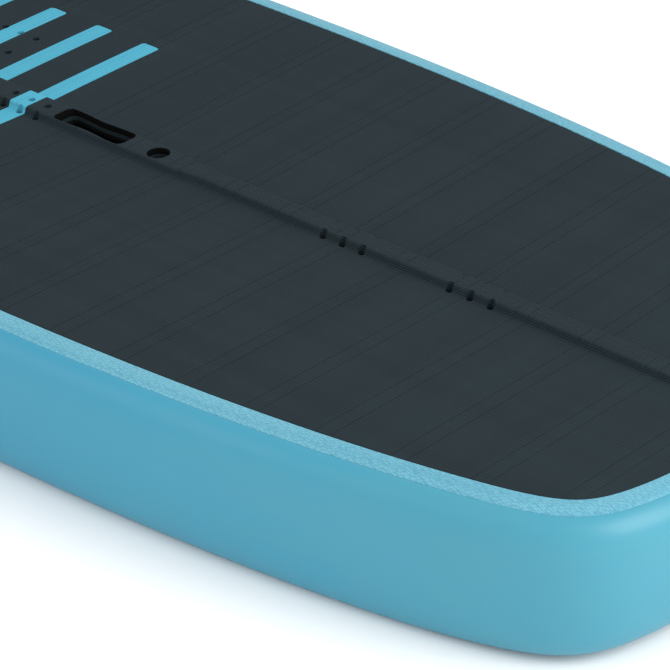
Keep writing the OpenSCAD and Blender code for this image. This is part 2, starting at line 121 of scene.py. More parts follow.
HANDLE_X = (CUP_LOW.x + CUP_HIGH.x) / 2
MOUTH_L = 0.100
MOUTH_W = 0.029
MOUTH_CORNER = 0.008
MOUTH_WAIST = 0.002
VENT_X = (VENT_LOW.x + VENT_HIGH.x) / 2
VENT_R = 0.012
LEASH_X = (LEASH_LOW.x + LEASH_HIGH.x) / 2
LEASH_R = 0.012
WELL_ROUND = 0.0013
# Radius of a strap insert's flange, and length of one rear group of inserts
INSERT_R = 0.006
REAR_GROUP_L = 0.064

# Edges that turn by more than this, in degrees, are shaded sharp
SHARP = 35
HULL_SHARP = 40
DECK_SHARP = 50
WELD = 1e-6

scene = bpy.context.scene


# ==== Outline, rocker and rail section ====

TAIL_END = ((-1, 0), (-1, 0.13), (-0.993, 0.245), (-0.985, 0.37))
TAIL_CORNER = ((-0.985, 0.37), (-0.967, 0.655), (-0.9375, 0.717), (-0.83, 0.787))
REAR_SIDE = ((-0.83, 0.787), (-0.588, 0.945), (-0.26, 1), (0.07, 1))
FRONT_SIDE = ((0.07, 1), (0.42, 1), (0.672, 0.906), (0.83, 0.63))
NOSE_END = ((0.83, 0.63), (0.913, 0.483), (1, 0.26), (1, 0))


def bezier(p, n):
    """The first n points of n + 1 along a cubic curve."""
    t = np.linspace(0, 1, n, endpoint=False)[:, None]
    p = np.array(p, float)
    start, end = (1 - t) ** 3 * p[0], t**3 * p[3]
    return start + 3 * (1 - t) ** 2 * t * p[1] + 3 * (1 - t) * t * t * p[2] + end


def outline(density):
    """One side of the plan outline from tail to nose, and its inward normals."""
    parts = ((TAIL_END, 3), (TAIL_CORNER, 7), (REAR_SIDE, 9), (FRONT_SIDE, 9), (NOSE_END, 7))
    share = np.vstack([bezier(p, n * density) for p, n in parts] + [[(1, 0)]])
    side = share * (HALF_L, HALF_W)
    flip = np.array((1, -1))
    around = np.vstack([side[1] * flip, side, side[-2] * flip])
    t = around[2:] - around[:-2]
    normal = np.stack([t[:, 1], -t[:, 0]], 1)
    return side, normal / np.linalg.norm(normal, axis=1)[:, None]


def bottom_z(x):
    nose = np.clip((x - HALF_L + NOSE_KICK) / NOSE_KICK, 0, None)
    tail = np.clip((-x - HALF_L + TAIL_KICK) / TAIL_KICK, 0, None)
    return NOSE_LIFT * nose**2 + TAIL_LIFT * tail**2


def deck_z(x, y):
    nose = np.clip((x - HALF_L + NOSE_KICK) / NOSE_KICK, 0, None)
    return DECK_MID + NOSE_RISE * nose**2 + DECK_SLOPE * np.abs(y)


def power_sin(a):
    return np.sin(a) ** RAIL_POWER


def power_fall(a):
    return 1 - max(math.cos(a), 0.0) ** RAIL_POWER


def rail_ring(u, inner, side, normal):
    """The closed loop at u round the section (0 pad edge, 1 widest line, 2 bottom),
    on the outer face (inner = 0), the inner face (1) or between."""
    edge = side + EDGE_W * normal
    foot = side + TUCK_W * normal
    top = deck_z(edge[:, 0], edge[:, 1])
    t = top - bottom_z(foot[:, 0])
    faces = []
    for f in (0.0, 1.0):
        if u <= 1:
            a = math.pi / 2 * u
            inset = f * SHELL_T + (EDGE_W - f * SHELL_T) * (1 - power_sin(a))
            drop = f * COVER_T + (UPPER_SHARE * t - f * COVER_T) * power_fall(a)
        else:
            a = math.pi / 2 * (u - 1)
            inset = f * SHELL_T + (TUCK_W - f * SHELL_T) * power_fall(a)
            drop = UPPER_SHARE * t + (t * (1 - UPPER_SHARE) - f * SHELL_T) * power_sin(a)
        faces.append(np.column_stack([side + inset * normal, top - drop]))
    port = (1 - inner) * faces[0] + inner * faces[1]
    star = port[-2:0:-1] * (1, -1, 1)
    return np.vstack([port, star])


# ==== Mesh helpers ====


def make_object(name, points, faces, sharp_deg=SHARP):
    mesh = bpy.data.meshes.new(name)
    mesh.from_pydata([tuple(p) for p in points], [], faces)
    mesh.update()
    obj = bpy.data.objects.new(name, mesh)
    scene.collection.objects.link(obj)
    tidy_mesh(obj, sharp_deg)
    return obj


def tidy_mesh(obj, sharp_deg=SHARP):
    """Welds, faces outwards, and shades smooth except over sharp edges."""
    bm = bmesh.new()
    bm.from_mesh(obj.data)
    bmesh.ops.remove_doubles(bm, verts=bm.verts, dist=WELD)
    bmesh.ops.dissolve_degenerate(bm, edges=bm.edges, dist=WELD)
    bmesh.ops.recalc_face_normals(bm, faces=bm.faces)
    if bm.calc_volume(signed=True) < 0:
        bmesh.ops.reverse_faces(bm, faces=bm.faces)
    limit = math.radians(sharp_deg)
    for f in bm.faces:
        f.smooth = True
    for e in bm.edges:
        e.smooth = len(e.link_faces) == 2 and e.calc_face_angle(0) < limit
    bm.to_mesh(obj.data)
    bm.free()


def wall_faces(n, m, closed=False):
    """The quads between m loops of n points; closed joins the last loop to the first."""
    faces = []
    for k in range(m if closed else m - 1):
        this, after = k * n, (k + 1) % m * n
        for j in range(n):
            beside = (j + 1) % n
            faces.append((this + j, this + beside, after + beside, after + j))
    return faces


def hoop(name, rings, sharp_deg=SHARP):
    """A ring-shaped solid: the section runs round the listed loops and closes."""
    faces = wall_faces(len(rings[0]), len(rings), closed=True)
    return make_object(name, np.vstack(rings), faces, sharp_deg)


def drum(name, rings, sharp_deg=SHARP):
    """A solid with the listed loops round it, closed across the first and the last."""
    n, m = len(rings[0]), len(rings)
    faces = wall_faces(n, m)
    half = n // 2
    for base in (0, (m - 1) * n):
        faces.append((base, base + 1, base + n - 1))
        faces.append((base + half, base + half + 1, base + half - 1))
        for i in range(1, half - 1):
            faces.append((base + i, base + i + 1, base + n - i - 1, base + n - i))
    return make_object(name, np.vstack(rings), faces, sharp_deg)


def stations(name, sections, sharp_deg=SHARP):
    """A solid through a row of sections with the same number of points."""
    n, m = len(sections[0]), len(sections)
    faces = wall_faces(n, m)
    faces.append(tuple(range(n)))
    faces.append(tuple((m - 1) * n + j for j in reversed(range(n))))
    return make_object(name, np.vstack(sections), faces, sharp_deg)


def column(name, x, y, loops):
    """A cutter from (z, outline) pairs; each outline is an array of points about (x, y)."""
    sections = [np.column_stack([loop + (x, y), np.full(len(loop), z)]) for z, loop in loops]
    return stations(name, sections)


def circle(r, n):
    a = np.linspace(0, 2 * math.pi, n, endpoint=False)
    return np.column_stack([r * np.cos(a), r * np.sin(a)])


def joined(name, objects):
    """One object from several, which are removed."""
    bm = bmesh.new()
    for o in objects:
        bm.from_mesh(o.data)
        bpy.data.objects.remove(o)
    mesh = bpy.data.meshes.new(name)
    bm.to_mesh(mesh)
    bm.free()
    obj = bpy.data.objects.new(name, mesh)
    scene.collection.objects.link(obj)
    return obj


def carve(obj, cutter, operation="DIFFERENCE"):
    """Applies an exact boolean with another closed mesh."""
    mod = obj.modifiers.new("cut", "BOOLEAN")
    mod.operation = operation
    mod.solver = "EXACT"
    mod.object = cutter
    bpy.context.view_layer.update()
    depsgraph = bpy.context.evaluated_depsgraph_get()
    done = bpy.data.meshes.new_from_object(obj.evaluated_get(depsgraph))
    obj.modifiers.clear()
    obj.data = done


def copy_of(obj, name):
    """A second object with its own copy of the mesh."""
    twin = bpy.data.objects.new(name, obj.data.copy())
    scene.collection.objects.link(twin)
    return twin


# ==== Materials ====


def linear(r, g, b):
    """An sRGB colour, 0 to 255, as linear values."""
    def one(c):
        c /= 255
        return c / 12.92 if c <= 0.04045 else ((c + 0.055) / 1.055) ** 2.4

    return (one(r), one(g), one(b), 1.0)


class Shader:
    """A material with a Principled shader and short calls to add nodes."""

    def __init__(self, name, roughness=0.5, specular=0.5, metallic=0.0, sheen=0.0, coat=0.0):
        self.mat = bpy.data.materials.new(name)
        self.mat.use_nodes = True
        self.tree = self.mat.node_tree
        self.bsdf = self.tree.nodes["Principled BSDF"]
        self.bsdf.inputs["Roughness"].default_value = roughness
        self.bsdf.inputs["Specular IOR Level"].default_value = specular
        self.bsdf.inputs["Metallic"].default_value = metallic
        self.bsdf.inputs["Sheen Weight"].default_value = sheen
        self.bsdf.inputs["Coat Weight"].default_value = coat
        self.bsdf.inputs["Coat Roughness"].default_value = 0.2
        self.place = self.node("ShaderNodeTexCoord").outputs["Object"]

    def node(self, kind, **settings):
        n = self.tree.nodes.new(kind)
        for key, value in settings.items():
            setattr(n, key, value)
        return n

    def link(self, a, b):
        self.tree.links.new(a, b)

    def mapped(self, scale=(1, 1, 1), rotation=(0, 0, 0)):
        m = self.node("ShaderNodeMapping")
        m.inputs["Scale"].default_value = scale
        m.inputs["Rotation"].default_value = rotation
        self.link(self.place, m.inputs["Vector"])
        return m.outputs["Vector"]

    def math(self, op, a, b=None):
        m = self.node("ShaderNodeMath", operation=op)
        for i, v in enumerate((a, b)):
            if v is None:
                continue
            if isinstance(v, (int, float)):
                m.inputs[i].default_value = v
            else:
                self.link(v, m.inputs[i])
        return m.outputs[0]

    def axis(self, which):
        s = self.node("ShaderNodeSeparateXYZ")
        self.link(self.place, s.inputs[0])
        return s.outputs[which]

    def noise(self, scale, detail=3, vector=None, roughness=0.5):
        n = self.node("ShaderNodeTexNoise")
        n.inputs["Scale"].default_value = scale
        n.inputs["Detail"].default_value = detail
        n.inputs["Roughness"].default_value = roughness
        self.link(vector or self.place, n.inputs["Vector"])
        return n.outputs["Fac"]

    def cells(self, scale, vector=None, feature="F1", randomness=1.0):
        v = self.node("ShaderNodeTexVoronoi", feature=feature)
        v.inputs["Scale"].default_value = scale
        v.inputs["Randomness"].default_value = randomness
        self.link(vector or self.place, v.inputs["Vector"])
        return v.outputs["Distance"]

    def ramp(self, fac, stops):
        r = self.node("ShaderNodeValToRGB")
        els = r.color_ramp.elements
        while len(els) < len(stops):
            els.new(0.5)
        for el, (pos, colour) in zip(els, stops):
            el.position = pos
            el.color = colour
        self.link(fac, r.inputs["Fac"])
        return r.outputs["Color"]

    def colour(self, socket):
        self.link(socket, self.bsdf.inputs["Base Color"])

    def rough(self, fac, low, high):
        r = self.node("ShaderNodeMapRange")
        r.inputs["To Min"].default_value = low
        r.inputs["To Max"].default_value = high
        self.link(fac, r.inputs["Value"])
        self.link(r.outputs["Result"], self.bsdf.inputs["Roughness"])

    def bump(self, height, distance, strength=1.0, after=None):
        b = self.node("ShaderNodeBump")
        b.inputs["Strength"].default_value = strength
        b.inputs["Distance"].default_value = distance
        self.link(height, b.inputs["Height"])
        if after is not None:
            self.link(after, b.inputs["Normal"])
        self.link(b.outputs["Normal"], self.bsdf.inputs["Normal"])
        return b.outputs["Normal"]


# Colours are scaled by this, because the studio light is brighter than 1 to keep the
# floor white near the board
ALBEDO = 0.82


def shade(rgb, share):
    """A colour given in 0 to 255, as the linear value that a material needs."""
    return tuple(min(c * share * ALBEDO, 1.0) for c in linear(*rgb)[:3]) + (1.0,)


def ribs(s, across, pitch):
    """Height of fine grooves that run along the board: 1 on a rib, 0 in a groove."""
    wave = s.math("SINE", s.math("MULTIPLY", across, 2 * math.pi / pitch))
    return s.math("MINIMUM", s.math("ADD", s.math("MULTIPLY", wave, 1.2), 1.0), 1.0)


# Where shade is painted on the foam inside the handle's mouth and the vent recess: within these
# distances of their centres, and this far below the ridge's top
SHADE_MOUTH_X = 0.0556
SHADE_MOUTH_Y = 0.0157
SHADE_VENT_R = 0.0137
SHADE_BELOW = 0.0008
# Painted shade: the near-black colour given to those walls
PAINTED_SHADE_TONE = (0.0015, 0.0015, 0.0018, 1)


def painted_shade_walls(s):
    """Mask for painted shade: 1 on the walls of the handle's mouth and of the vent recess, below
    the ridge's top.
    """
    x, y = s.axis("X"), s.axis("Y")
    below = s.math("LESS_THAN", s.axis("Z"), DECK_MID + RIDGE_H - SHADE_BELOW)
    along = s.math("ABSOLUTE", s.math("SUBTRACT", x, HANDLE_X))
    mouth = s.math("MULTIPLY",
                   s.math("LESS_THAN", along, SHADE_MOUTH_X),
                   s.math("LESS_THAN", s.math("ABSOLUTE", y), SHADE_MOUTH_Y))
    off = s.math("SUBTRACT", x, VENT_X)
    square = s.math("ADD", s.math("MULTIPLY", off, off), s.math("MULTIPLY", y, y))
    vent = s.math("LESS_THAN", square, SHADE_VENT_R**2)
    return s.math("MULTIPLY", below, s.math("MAXIMUM", mouth, vent))


def soft_foam(name, rgb, spread, ridge=False):
    """Grooved closed-cell foam: fine ribs along the board with painted shade in the grooves, faint
    plaid tone, light wear.
    On the ridge the grooves are deeper and go down its sides too, and the walls of the handle's
    mouth and the vent recess are painted near black as painted shade."""
    s = Shader(name, roughness=0.85, specular=0.07)
    across = s.axis("Y")
    if ridge:
        across = s.math("SUBTRACT", s.math("ABSOLUTE", across), s.axis("Z"))
    rib = ribs(s, across, RIDGE_RIB_PITCH if ridge else RIB_PITCH)
    grain = s.noise(900, 2)
    patch = s.noise(7, 4)
    plaid_x = s.noise(1.0, 2, s.mapped((26, 0.4, 0.4)))
    plaid_y = s.noise(1.0, 2, s.mapped((0.4, 34, 0.4)))
    wear = s.math("ADD", s.math("MULTIPLY", patch, 0.5), s.math("MULTIPLY", grain, 0.25))
    plaid = s.math("ADD", s.math("MULTIPLY", plaid_x, 0.5), s.math("MULTIPLY", plaid_y, 0.5))
    tone = s.math("MULTIPLY", s.math("ADD", wear, plaid), 0.75)
    # Painted shade: the ribs lift the colour, so the grooves between them are painted darker, most
    # on the ridge
    tone = s.math("ADD", tone, s.math("MULTIPLY", rib, 0.4 if ridge else 0.12))
    tint = s.ramp(tone, [(0.45, shade(rgb, 1 - spread)), (0.95, shade(rgb, 1 + spread))])
    if ridge:
        # Painted shade: the walls of the handle's mouth and the vent recess are painted near black
        mix = s.node("ShaderNodeMix", data_type="RGBA")
        s.link(painted_shade_walls(s), mix.inputs["Factor"])
        s.link(tint, mix.inputs[6])
        mix.inputs[7].default_value = PAINTED_SHADE_TONE
        tint = mix.outputs[2]
    s.colour(tint)
    s.rough(patch, 0.78, 0.92)
    first = s.bump(rib, 0.0006 if ridge else 0.0003, 0.9 if ridge else 0.6)
    s.bump(grain, 0.00025, 0.5, after=first)
    return s.mat


def band_foam():
    """Pebbled foam round the deck's edge: short slanting welts, with painted highlights on their
    tops and painted shade between them.
    """
    s = Shader("band_foam", roughness=0.7, specular=0.35, sheen=0.05)
    turned = s.mapped((200, 420, 300), (0, 0, math.radians(28)))
    welts = s.cells(1.0, turned, randomness=0.45)
    fine = s.noise(1200, 2)
    patch = s.noise(9, 3)
    # Painted highlight and painted shade: the welts' raised middles are coloured lighter and the
    # hollows between them darker
    tone = s.math("ADD", s.math("MULTIPLY", welts, 0.9), s.math("MULTIPLY", patch, 0.3))
    s.colour(s.ramp(tone, [(0.25, shade((116, 188, 208), 1.0)),
                           (0.95, shade((86, 162, 188), 0.88))]))
    s.rough(patch, 0.6, 0.75)
    first = s.bump(welts, -0.0012, 1.0)
    s.bump(fine, 0.0001, 0.4, after=first)
    return s.mat


def rail_paint():
    """Satin paint over a hand-sanded sandwich skin, slightly wavy, with faint scuffs, and painted
    light that makes it lighter towards the tail.
    """
    s = Shader("rail_paint", roughness=0.42, specular=0.4, coat=0.06)
    wave = s.noise(5.5, 3)
    scuff = s.noise(1.0, 5, s.mapped((9, 9, 60)), 0.6)
    peel = s.noise(330, 2)
    tone = s.math("ADD", s.math("MULTIPLY", wave, 0.5), s.math("MULTIPLY", scuff, 0.5))
    # Painted light: the paint is made lighter towards the tail and darker towards the nose, as if
    # the key light fell on the tail corner
    painted_tail_light = s.math("MULTIPLY", s.math("ADD", s.axis("X"), 0.45), -0.9)
    tone = s.math("ADD", tone, painted_tail_light)
    s.colour(s.ramp(tone, [(0.0, shade((46, 150, 184), 0.97)),
                           (0.55, shade((57, 154, 183), 1.0)),
                           (1.0, shade((70, 153, 173), 1.04))]))
    s.rough(scuff, 0.34, 0.5)
    first = s.bump(wave, 0.004, 0.5)
    s.bump(peel, 0.00008, 0.4, after=first)
    return s.mat


def moulded_plastic(name, rgb, roughness=0.5, grain_scale=1400):
    s = Shader(name, roughness=roughness, specular=0.4)
    grain = s.noise(grain_scale, 2)
    patch = s.noise(60, 3)
    s.colour(s.ramp(patch, [(0.3, shade(rgb, 0.85)), (0.7, shade(rgb, 1.2))]))
    s.rough(patch, roughness - 0.06, roughness + 0.1)
    s.bump(grain, 0.0001, 0.5)
    return s.mat


def metal(name, rgb, roughness, stretch):
    s = Shader(name, roughness=roughness, metallic=1.0)
    brushed = s.noise(1.0, 4, s.mapped(stretch), 0.6)
    s.colour(s.ramp(brushed, [(0.3, shade(rgb, 0.85)), (0.7, shade(rgb, 1.08))]))
    s.rough(brushed, roughness - 0.08, roughness + 0.12)
    s.bump(brushed, 0.00003, 0.5)
    return s.mat


def foam_bead(name, rgb, scale):
    s = Shader(name, roughness=0.9, specular=0.2)
    beads = s.cells(scale, feature="SMOOTH_F1")
    s.colour(s.ramp(beads, [(0.1, shade(rgb, 1.0)), (0.8, shade(rgb, 0.9))]))
    s.bump(beads, -0.0008, 0.6)
    return s.mat


PLY_PITCH = 0.0016
WEAVE_PITCH = 0.004


def plywood():
    s = Shader("plywood", roughness=0.65, specular=0.3)
    grain = s.noise(1.0, 5, s.mapped((3, 120, 160)), 0.6)
    ply = s.math("SINE", s.math("MULTIPLY", s.axis("Y"), 2 * math.pi / PLY_PITCH))
    tone = s.math("ADD", s.math("MULTIPLY", grain, 0.9), s.math("MULTIPLY", ply, 0.1))
    s.colour(s.ramp(tone, [(0.3, linear(150, 108, 62)), (0.7, linear(214, 178, 124))]))
    s.bump(grain, 0.0002, 0.4)
    return s.mat


def woven_skin():
    s = Shader("woven_skin", roughness=0.55, specular=0.4)
    warp = s.math("SINE", s.math("MULTIPLY", s.axis("X"), 2 * math.pi / WEAVE_PITCH))
    weft = s.math("SINE", s.math("MULTIPLY", s.axis("Y"), 2 * math.pi / WEAVE_PITCH))
    weave = s.math("MULTIPLY", warp, weft)
    tone = s.math("ADD", s.math("MULTIPLY", weave, 0.2), s.noise(12, 3))
    s.colour(s.ramp(tone, [(0.3, linear(206, 203, 190)), (0.8, linear(232, 230, 220))]))
    s.bump(weave, 0.0001, 0.5)
    return s.mat


PAD_RGB = (38, 49, 54)
RIDGE_FOAM = soft_foam("ridge_foam", PAD_RGB, 0.22, ridge=True)
MATERIALS = {
    "rail_paint": rail_paint(),
    "band_eva": band_foam(),
    "pad_eva": soft_foam("pad_foam", PAD_RGB, 0.16),
    "stripe_eva": soft_foam("stripe_foam", (82, 171, 197), 0.1),
    "deck_skin": woven_skin(),
    "foam": foam_bead("foam_beads", (240, 240, 236), 320),
    "dense_foam": foam_bead("dense_foam", (216, 206, 150), 1500),
    "plywood": plywood(),
    "black_plastic": moulded_plastic("black_plastic", (9, 9, 10), 0.5),
    "track_plastic": moulded_plastic("track_plastic", (33, 34, 37), 0.42, 2200),
    "gasket_rubber": moulded_plastic("gasket_rubber", (12, 12, 12), 0.7, 3000),
    "pin_steel": metal("pin_steel", (196, 198, 202), 0.26, (900, 20, 900)),
    "nut_brass": metal("nut_brass", (196, 158, 84), 0.3, (30, 700, 700)),
}


def dress(obj, slot_name):
    """Gives a new piece the material listed under its slot's name, and lets it ride on the board.
    """
    obj.data.materials.clear()
    obj.data.materials.append(MATERIALS[slot_name])
    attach(obj, "board")
    return obj


# ==== Hull and band ====

SIDE, NORMAL = outline(12)
# The skin's first loop lies this far under the band
SKIN_SINK = 0.0003
# The slot cutter starts this far below the board
SLOT_UNDER = 0.0022


def build_hull():
    """The painted skin, from the band's edge down round the rails and over the bottom."""
    sunk = rail_ring(SEAM_AT, 0.0, SIDE, NORMAL) - (0, 0, SKIN_SINK)
    us = [SEAM_AT + 0.03] + list(np.linspace(SEAM_AT + 0.07, 2.0, 34))
    outer = [rail_ring(u, 0.0, SIDE, NORMAL) for u in us]
    inner = [rail_ring(u, 1.0, SIDE, NORMAL) for u in np.linspace(2.0, SEAM_AT, 12)]
    obj = drum("hull_skin", outer[::-1] + [sunk] + inner[::-1], HULL_SHARP)
    boxes = []
    for node in ("foil_track_port", "foil_track_starboard"):
        low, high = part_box(node)
        rect = np.array([(low.x, low.y), (high.x, low.y), (high.x, high.y), (low.x, high.y)])
        boxes.append(column("slot_cutter", 0, 0, [(-SLOT_UNDER, rect), (high.z, rect)]))
    cutter = joined("slot_cutters", boxes)
    carve(obj, cutter)
    bpy.data.objects.remove(cutter)
    tidy_mesh(obj, HULL_SHARP)
    dress(obj, "rail_paint")
    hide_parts("hull_shell")


def build_band():
    """The textured band, its edge against the pad eased down and its outer edge tucked in."""
    ease, ease_to, tuck = 0.0009, 0.004, 0.0001
    share = PAD_T / COVER_T
    outer = [rail_ring(u, 0.0, SIDE, NORMAL) for u in np.linspace(0.0, SEAM_AT, 12)]
    outer[0] = outer[0] - (0, 0, ease)
    outer.insert(1, rail_ring(ease_to, 0.0, SIDE, NORMAL))
    outer[-1] = outer[-1] - (0, 0, tuck)
    inner = [rail_ring(u, share, SIDE, NORMAL) for u in (SEAM_AT, SEAM_AT / 2, 0.0)]
    obj = hoop("edge_band", outer + inner, HULL_SHARP)
    dress(obj, "band_eva")
    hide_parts("rail_band")


# ==== Soft deck ====


def groove_places(low, high):
    """Both lines of each pair of cross grooves between two stations."""
    first = math.floor((low - GROOVE_START) / GROOVE_PITCH)
    last = math.ceil((high - GROOVE_START) / GROOVE_PITCH)
    places = [GROOVE_START + k * GROOVE_PITCH - d
              for k in range(first, last + 1) for d in (0, GROOVE_GAP)]
    return [x for x in places if low + GROOVE_W < x < high - GROOVE_W]


def grooved_stations(xs):
    """Pairs (x, depth): the given stations with each groove's four stations put in."""
    rows = []
    places = groove_places(min(xs), max(xs))
    for x in xs:
        if all(abs(x - g) > GROOVE_W for g in places):
            rows.append((x, 0.0))
    for g in places:
        rows += [(g - GROOVE_W / 2, 0.0), (g - GROOVE_W / 5, GROOVE_DEPTH)]
        rows += [(g + GROOVE_W / 5, GROOVE_DEPTH), (g + GROOVE_W / 2, 0.0)]
    return sorted(rows)


def pad_solid(name, sign):
    """One pad: rows of points across it at stations from tail to nose, its outer edge round."""
    edge = (SIDE + EDGE_W * NORMAL)[1:-1]
    # Only points that move forward, so that the edge is a function of x
    keep = [0]
    for i in range(1, len(edge)):
        if edge[i, 0] > edge[keep[-1], 0] + 1e-5:
            keep.append(i)
    edge = edge[keep]
    sections = []
    for x, depth in grooved_stations(list(edge[:, 0])):
        w = float(np.interp(x, edge[:, 0], edge[:, 1]))
        r = min(PAD_EDGE_R, w / 3)
        top = [(w - r) * s for s in np.linspace(0, 1, 9)]
        points = [(x, y, float(deck_z(x, y)) - depth) for y in top]
        for a in (30, 60, 90):
            a = math.radians(a)
            y = w - r + r * math.sin(a)
            fall = r * (1 - math.cos(a)) + depth * math.cos(a)
            points.append((x, y, float(deck_z(x, y)) - fall))
        points.append((x, w, float(deck_z(x, w)) - PAD_T))
        points.append((x, 0.0, float(deck_z(x, 0)) - PAD_T))
        sections.append(np.array(points) * (1, sign, 1))
    return stations(name, sections, DECK_SHARP)


def smooth_step(t):
    t = min(max(t, 0.0), 1.0)
    return t * t * (3 - 2 * t)


WIDEN_END = VENT_X - 2 * VENT_R
WIDEN_START = WIDEN_END - 2 * RIDGE_TAPER


def ridge_solid(name):
    """The raised bar: flat top, rounded shoulders, steep sides and sloping ends."""
    xs = list(np.linspace(RIDGE_LOW.x, RIDGE_HIGH.x, 160))
    sections = []
    for x, depth in grooved_stations(xs):
        ends = min(x - RIDGE_LOW.x, RIDGE_HIGH.x - x)
        rise = smooth_step(ends / RIDGE_TAPER)
        h = RIDGE_END_H + (RIDGE_H - RIDGE_END_H) * rise - depth
        wide = smooth_step((x - WIDEN_START) / (WIDEN_END - WIDEN_START))
        narrow = smooth_step((RIDGE_HIGH.x - x) / RIDGE_TAPER)
        t = (RIDGE_TOP_W + (RIDGE_FRONT_W - RIDGE_TOP_W) * min(wide, narrow)) / 2
        b = t + RIDGE_SIDE_W
        # Half widths, with the share of the height at each
        shape = [(b, 0.0), (b - 0.0005, 0.07), (t + 0.0012, 0.5), (t + 0.0003, 0.82),
                 (t - 0.0007, 0.95), (t - 0.0022, 1.0), (t * 0.5, 1.0), (0.0, 1.0)]
        right = [(x, y, float(deck_z(x, y * (1 - s))) + h * s) for y, s in shape]
        left = [(x, -y, z) for _, y, z in reversed(right[:-1])]
        foot = [(x, -b * 0.5, float(deck_z(x, b * 0.5))), (x, 0.0, float(deck_z(x, 0))),
                (x, b * 0.5, float(deck_z(x, b * 0.5)))]
        sections.append(np.array(right + left + foot))
    return stations(name, sections, DECK_SHARP)


def screw_places():
    """Centres of the screw holes, from the boxes of the insert groups."""
    def grid(low, high, nx, ny):
        return [(x, y) for x in np.linspace(low.x + INSERT_R, high.x - INSERT_R, nx)
                for y in np.linspace(low.y + INSERT_R, high.y - INSERT_R, ny)]

    low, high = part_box("rear_strap_inserts")
    places = grid(low, Vector((low.x + REAR_GROUP_L, high.y, 0)), 3, 2)
    places += grid(Vector((high.x - REAR_GROUP_L, low.y, 0)), high, 3, 2)
    places += grid(*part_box("front_strap_inserts"), 3, 3)
    for side in ("port", "starboard"):
        places += grid(*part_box("outer_strap_inserts_" + side), 3, 2)
    return places


def rounded_box(l, w, r, n=7):
    """Outline of a rectangle with round corners, with a slight waist on the long sides."""
    points = []
    for cx, cy, start in ((1, 1, 0), (-1, 1, 90), (-1, -1, 180), (1, -1, 270)):
        for k in range(n):
            a = math.radians(start + 90 * k / (n - 1))
            points.append((cx * (l / 2 - r) + r * math.cos(a), cy * (w / 2 - r) + r * math.sin(a)))
        if cx * cy > 0:
            y = cy * w / 2
            span = np.linspace(cx * (l / 2 - r), -cx * (l / 2 - r), 13)[1:-1]
            for x in span:
                dip = MOUTH_WAIST * (1 + math.cos(math.pi * min(1.0, abs(x) / (l * 0.32)))) / 2
                points.append((x, y - cy * dip))
    return np.array(points)


# Cutters through the soft deck start this low
CUT_LOW = DECK_MID - PAD_T - 0.002


def deck_cutter():
    """Everything that pierces the soft deck: screw holes, mouth, vent and leash plug."""
    low, high = CUT_LOW, DECK_MID + RIDGE_H + 0.004
    bore = circle(PAD_HOLE_R, 24)
    parts = [column("hole", x, y, [(low, bore), (high, bore)]) for x, y in screw_places()]
    for x, r, lip in ((VENT_X, VENT_R, DECK_MID + RIDGE_H - 0.0015), (LEASH_X, LEASH_R, DECK_MID)):
        parts.append(column("well", x, 0, [(low, circle(r, 64)), (lip, circle(r, 64)),
                                           (lip + 0.0018, circle(r + WELL_ROUND, 64)),
                                           (high, circle(r + WELL_ROUND + 0.0001, 64))]))
    mouth = rounded_box(MOUTH_L, MOUTH_W, MOUTH_CORNER)
    # The mouth flares towards the ridge's top, most at its front end
    ahead = mouth[:, :1]
    flare = mouth * (1.0, 1.04) + np.where(ahead > 0, (0.005, 0.0), (0.0015, 0.0)) * np.sign(ahead)
    parts.append(column("mouth", HANDLE_X, 0, [(low, mouth), (DECK_MID + 0.001, mouth),
                                               (DECK_MID + RIDGE_H, flare), (high, flare)]))
    return joined("deck_cutter", parts)


def stripe_cutter(shrink):
    """The stripes' plan shapes as columns; shrink leaves a fine seam round each inlay."""
    parts = []
    low, high = CUT_LOW, DECK_MID + RIDGE_H + 0.02
    half = STRIPE_L / 2 - shrink
    w = STRIPE_W / 2 - shrink
    ys = np.linspace(-half, half, 25)
    bow = -STRIPE_BOW * (ys / (STRIPE_L / 2)) ** 2
    corner = STRIPE_CORNER
    for k in range(STRIPE_COUNT):
        x = STRIPE_X + k * STRIPE_PITCH
        back = np.column_stack([bow - w, ys])
        front = np.column_stack([bow + w, ys])[::-1]
        back[0] += (corner, 0)
        back[-1] += (corner, 0)
        front[0] -= (corner, 0)
        front[-1] -= (corner, 0)
        back = np.vstack([back[:1], (bow[0] - w, ys[0] + corner), back[1:-1],
                          (bow[-1] - w, ys[-1] - corner), back[-1:]])
        front = np.vstack([front[:1], (bow[-1] + w, ys[-1] - corner), front[1:-1],
                           (bow[0] + w, ys[0] + corner), front[-1:]])
        loop = np.vstack([back, front])
        parts.append(column("stripe", x, 0, [(low, loop), (high, loop)]))
    return joined("stripe_cutter", parts)


def build_deck():
    """The pads and the ridge with their holes, and the stripes let into all three."""
    cutter = deck_cutter()
    wide, slim = stripe_cutter(0.0), stripe_cutter(SEAM_GAP)
    inlays = []
    for node, solid in (("deck_pad_port", pad_solid("pad_port", 1)),
                        ("deck_pad_starboard", pad_solid("pad_starboard", -1)),
                        ("centre_ridge", ridge_solid("ridge_bar"))):
        carve(solid, cutter)
        inlay = copy_of(solid, solid.name + "_inlay")
        carve(solid, wide)
        carve(inlay, slim, "INTERSECT")
        inlays.append(inlay)
        tidy_mesh(solid, DECK_SHARP)
        dress(solid, "pad_eva")
        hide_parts(node)
        if node == "centre_ridge":
            solid.data.materials[0] = RIDGE_FOAM
    stripes = joined("stripe_inlays", inlays)
    tidy_mesh(stripes, DECK_SHARP)
    dress(stripes, "stripe_eva")
    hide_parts("deck_stripes")
    for o in (cutter, wide, slim):
        bpy.data.objects.remove(o)


# ==== CAD nodes that stay, with softened edges ====

